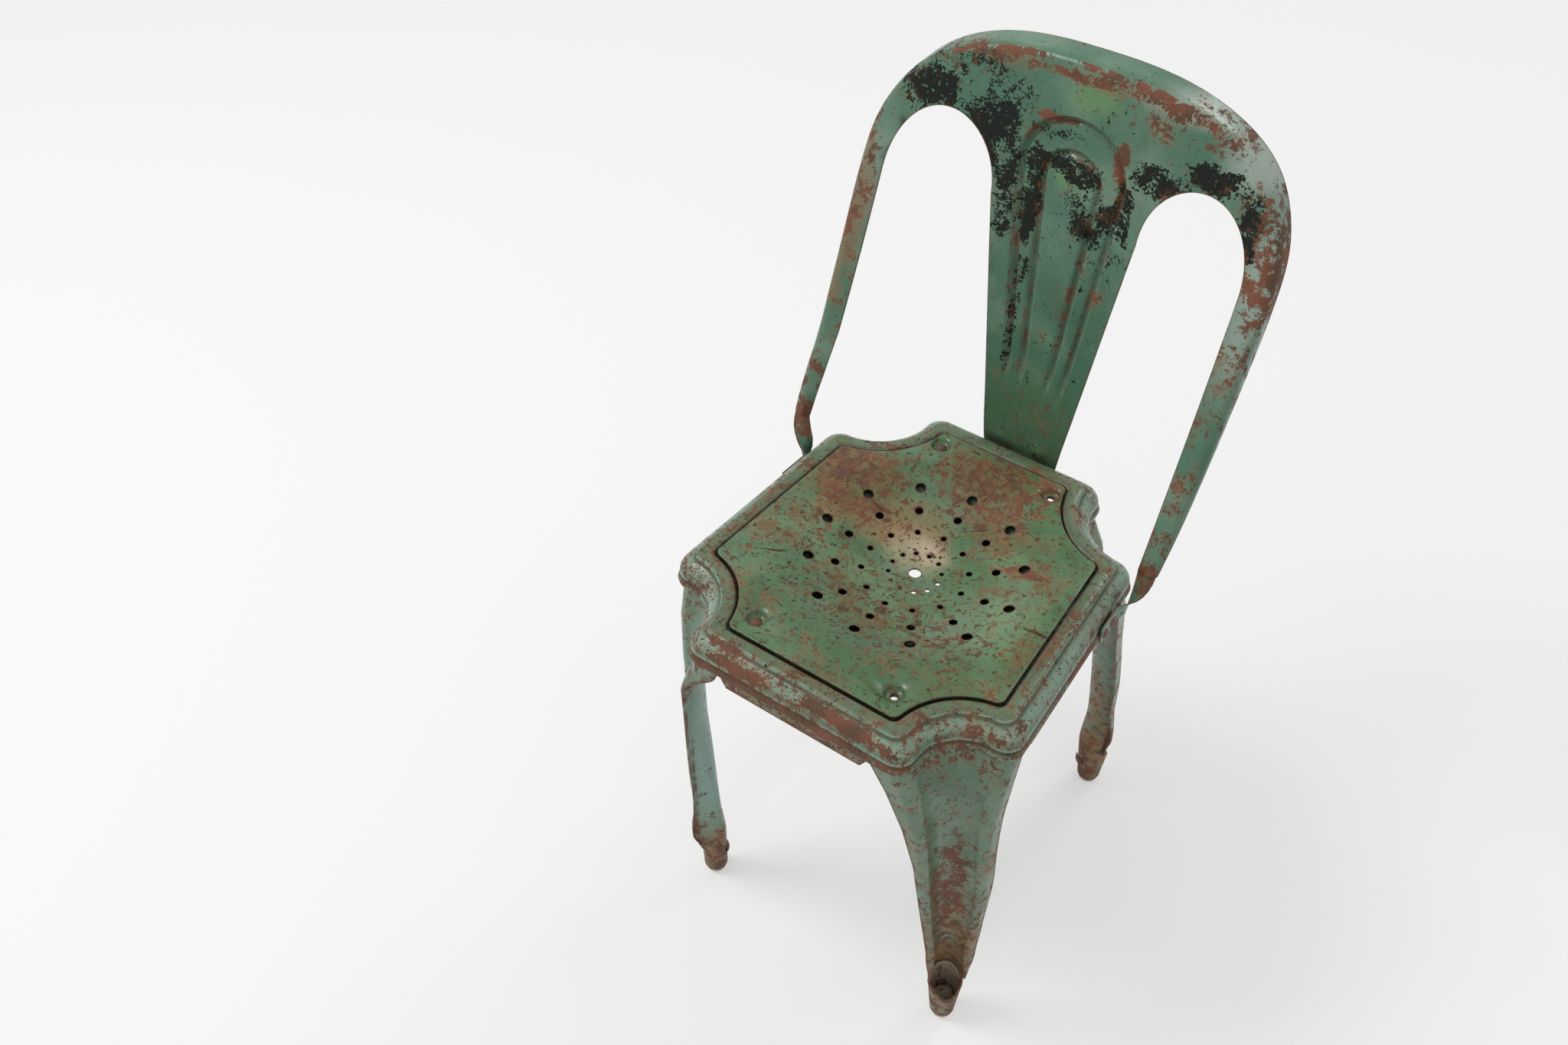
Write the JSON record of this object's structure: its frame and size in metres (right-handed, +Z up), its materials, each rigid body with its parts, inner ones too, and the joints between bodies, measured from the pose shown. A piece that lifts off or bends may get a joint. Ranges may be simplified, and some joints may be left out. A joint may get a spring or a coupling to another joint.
{
  "type": "metal bistro chair",
  "caption": "Pressed sheet-steel bistro chair with a dished perforated seat, a hooped backrest with a central splat and gutter legs, in worn green paint.",
  "frame": {"origin": "middle of the chair's own box at the floor", "axes": "+Z up, -Y towards the front of the seat, +X to the right seen from the front"},
  "size_m": [0.3796, 0.4324, 0.803],
  "materials": {
    "seat_panel_paint": "worn semi-gloss green paint with rust",
    "frame_paint": "worn semi-gloss green paint with rust",
    "backrest_paint": "worn semi-gloss green paint with rust and bare patches",
    "rail_paint": "worn green paint, mostly rusted",
    "leg_paint": "worn semi-gloss green paint with rust",
    "foot_steel": "rusted bare steel",
    "fastener_steel": "rusted bare steel"
  },
  "bodies": {
    "root": {"seat_panel": "seat_panel_paint", "seat_frame": "frame_paint", "backrest": "backrest_paint", "rail_front": "rail_paint", "rail_back": "rail_paint", "rail_left": "rail_paint", "rail_right": "rail_paint", "leg_front_left": "leg_paint", "leg_front_right": "leg_paint", "leg_back_left": "leg_paint", "leg_back_right": "leg_paint", "foot_front_left": "foot_steel", "foot_front_right": "foot_steel", "foot_back_left": "foot_steel", "foot_back_right": "foot_steel", "foot_rivets": "fastener_steel", "backrest_rivets": "frame_paint", "seat_screws": "fastener_steel", "seat_nuts": "fastener_steel"}
  },
  "joints": []
}
